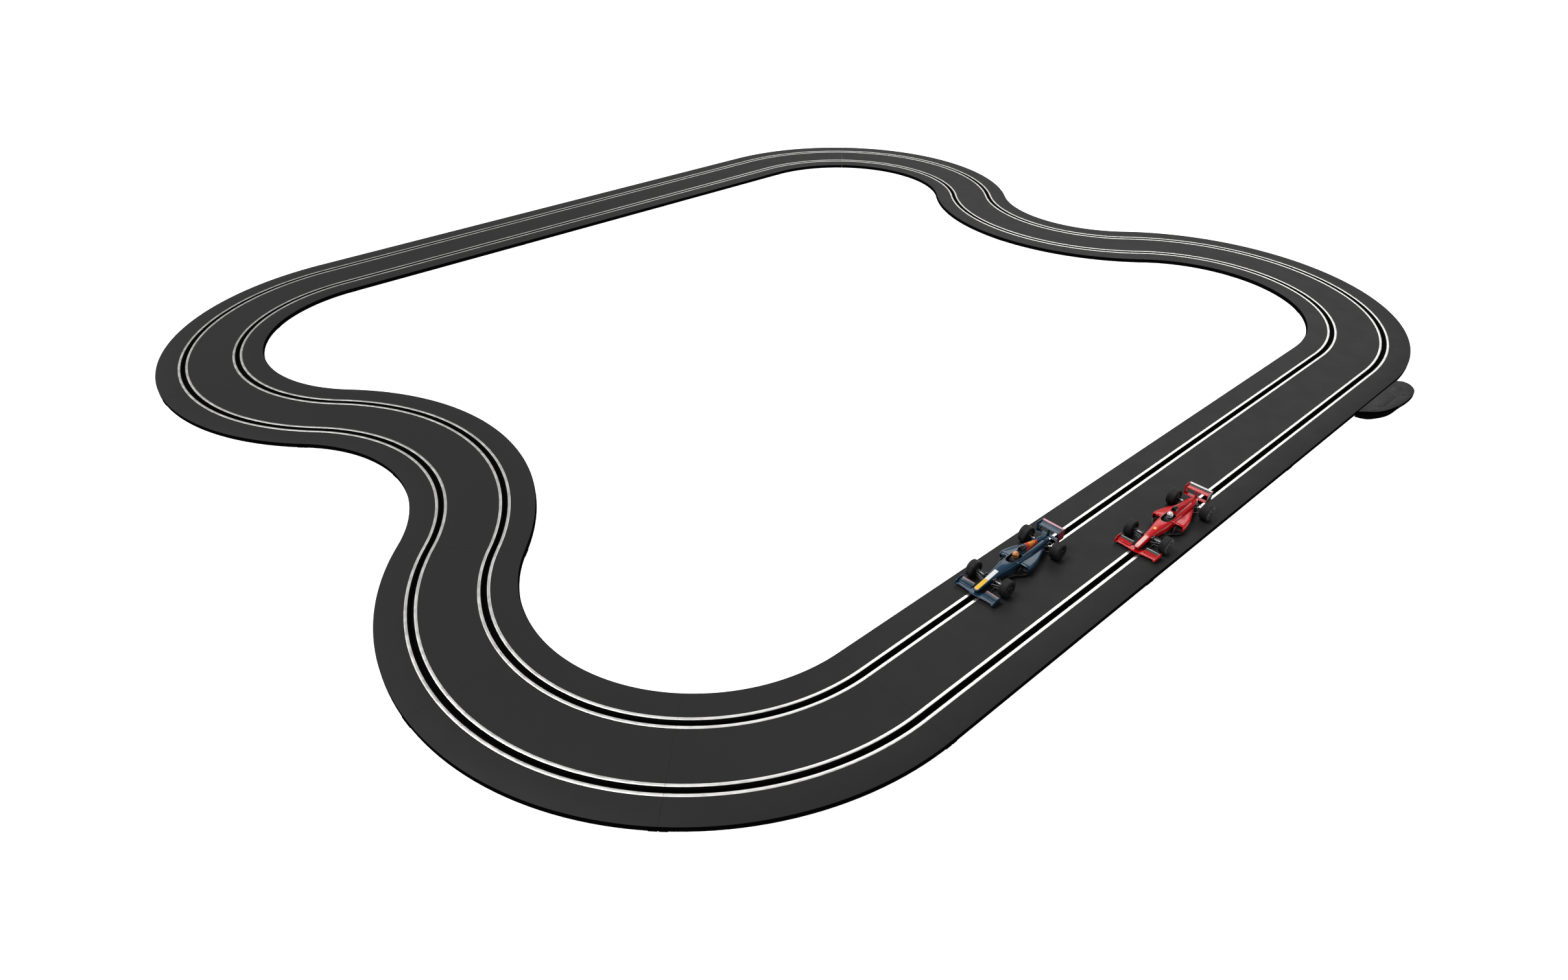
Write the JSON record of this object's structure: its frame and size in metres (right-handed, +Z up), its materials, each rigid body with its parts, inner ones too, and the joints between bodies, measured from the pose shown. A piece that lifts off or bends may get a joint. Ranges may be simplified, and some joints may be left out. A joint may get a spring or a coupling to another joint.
{
  "type": "slot car track set",
  "caption": "Closed two-lane slot car circuit of hollow plastic track with metal rails, a flat half-oval power base, and open-wheel model cars that run in the slots.",
  "frame": {"origin": "centre of the set's footprint, on the table", "axes": "+X along the front straight towards the power base, +Y from the front straight to the back straight, +Z up"},
  "size_m": [1.794, 1.6122, 0.0349],
  "materials": {
    "track_plastic": "dark grey moulded plastic, fine matt grain",
    "rail_steel": "bright plated steel strip",
    "base_plastic": "dark grey moulded plastic",
    "black_plastic": "black moulded plastic",
    "circuit_board": "green lacquered board",
    "motor_steel": "plated steel can",
    "axle_steel": "bright steel and silver-grey hubs",
    "tyre_rubber": "black rubber",
    "brass": "turned brass",
    "nylon": "natural nylon",
    "red_paint": "glossy red",
    "red_helmet": "glossy white helmet",
    "blue_paint": "glossy dark blue",
    "blue_helmet": "glossy orange helmet"
  },
  "bodies": {
    "track": {"track_straight_1": "track_plastic", "track_straight_2": "track_plastic", "track_straight_3": "track_plastic", "track_straight_4": "track_plastic", "track_straight_5": "track_plastic", "track_straight_6": "track_plastic", "track_curve_1": "track_plastic", "track_curve_2": "track_plastic", "track_curve_3": "track_plastic", "track_curve_4": "track_plastic", "track_curve_5": "track_plastic", "track_curve_6": "track_plastic", "track_curve_7": "track_plastic", "track_curve_8": "track_plastic", "track_curve_9": "track_plastic", "track_curve_10": "track_plastic", "track_curve_11": "track_plastic", "track_curve_12": "track_plastic", "track_curve_13": "track_plastic", "track_curve_14": "track_plastic", "track_curve_15": "track_plastic", "track_curve_16": "track_plastic", "outer_lane_outer_rail": "rail_steel", "outer_lane_inner_rail": "rail_steel", "inner_lane_outer_rail": "rail_steel", "inner_lane_inner_rail": "rail_steel", "power_base_shell": "base_plastic", "power_base_plate": "black_plastic", "power_circuit_board": "circuit_board", "power_socket_strip": "black_plastic"},
    "red_guide": {"red_car_guide": "black_plastic"},
    "red_car": {"red_car_chassis": "black_plastic", "red_car_body_shell": "red_paint", "red_car_front_wing": "red_paint", "red_car_rear_wing": "red_paint", "red_car_driver": "red_helmet", "red_car_motor": "motor_steel"},
    "red_front_wheels": {"red_car_front_axle": "axle_steel", "red_car_front_left_tyre": "tyre_rubber", "red_car_front_right_tyre": "tyre_rubber"},
    "red_rear_wheels": {"red_car_rear_axle": "axle_steel", "red_car_crown_gear": "nylon", "red_car_rear_left_tyre": "tyre_rubber", "red_car_rear_right_tyre": "tyre_rubber"},
    "red_motor_shaft": {"red_car_motor_pinion": "brass"},
    "blue_guide": {"blue_car_guide": "black_plastic"},
    "blue_car": {"blue_car_chassis": "black_plastic", "blue_car_body_shell": "blue_paint", "blue_car_front_wing": "blue_paint", "blue_car_rear_wing": "blue_paint", "blue_car_driver": "blue_helmet", "blue_car_motor": "motor_steel"},
    "blue_front_wheels": {"blue_car_front_axle": "axle_steel", "blue_car_front_left_tyre": "tyre_rubber", "blue_car_front_right_tyre": "tyre_rubber"},
    "blue_rear_wheels": {"blue_car_rear_axle": "axle_steel", "blue_car_crown_gear": "nylon", "blue_car_rear_left_tyre": "tyre_rubber", "blue_car_rear_right_tyre": "tyre_rubber"},
    "blue_motor_shaft": {"blue_car_motor_pinion": "brass"}
  },
  "joints": [
    {"name": "red_run", "type": "slide", "parent": "track", "child": "red_guide", "axis": [-1, 0, 0], "range_m": [-0.45, 0.15]},
    {"name": "red_swivel", "type": "hinge", "parent": "red_guide", "child": "red_car", "pos_m": [-0.137, -0.73049, 0.0095], "axis": [0, 0, 1], "range_deg": [-30, 30]},
    {"name": "red_front_roll", "type": "hinge", "parent": "red_car", "child": "red_front_wheels", "pos_m": [-0.121, -0.73049, 0.0172], "axis": [0, -1, 0], "continuous": true},
    {"name": "red_rear_roll", "type": "hinge", "parent": "red_car", "child": "red_rear_wheels", "pos_m": [-0.0235, -0.73049, 0.0172], "axis": [0, -1, 0], "continuous": true},
    {"name": "red_motor_turn", "type": "hinge", "parent": "red_car", "child": "red_motor_shaft", "pos_m": [-0.037, -0.73049, 0.0172], "axis": [1, 0, 0], "continuous": true},
    {"name": "blue_run", "type": "slide", "parent": "track", "child": "blue_guide", "axis": [-1, 0, 0], "range_m": [-0.45, 0.15]},
    {"name": "blue_swivel", "type": "hinge", "parent": "blue_guide", "child": "blue_car", "pos_m": [-0.338, -0.65249, 0.0095], "axis": [0, 0, 1], "range_deg": [-30, 30]},
    {"name": "blue_front_roll", "type": "hinge", "parent": "blue_car", "child": "blue_front_wheels", "pos_m": [-0.322, -0.65249, 0.0172], "axis": [0, -1, 0], "continuous": true},
    {"name": "blue_rear_roll", "type": "hinge", "parent": "blue_car", "child": "blue_rear_wheels", "pos_m": [-0.2245, -0.65249, 0.0172], "axis": [0, -1, 0], "continuous": true},
    {"name": "blue_motor_turn", "type": "hinge", "parent": "blue_car", "child": "blue_motor_shaft", "pos_m": [-0.238, -0.65249, 0.0172], "axis": [1, 0, 0], "continuous": true}
  ],
  "couplings": [
    {"joint": "red_front_roll", "follows": "red_run", "rad_per_m": 96.154},
    {"joint": "red_rear_roll", "follows": "red_run", "rad_per_m": 96.154},
    {"joint": "red_motor_turn", "follows": "red_run", "rad_per_m": -288.46},
    {"joint": "blue_front_roll", "follows": "blue_run", "rad_per_m": 96.154},
    {"joint": "blue_rear_roll", "follows": "blue_run", "rad_per_m": 96.154},
    {"joint": "blue_motor_turn", "follows": "blue_run", "rad_per_m": -288.46}
  ]
}
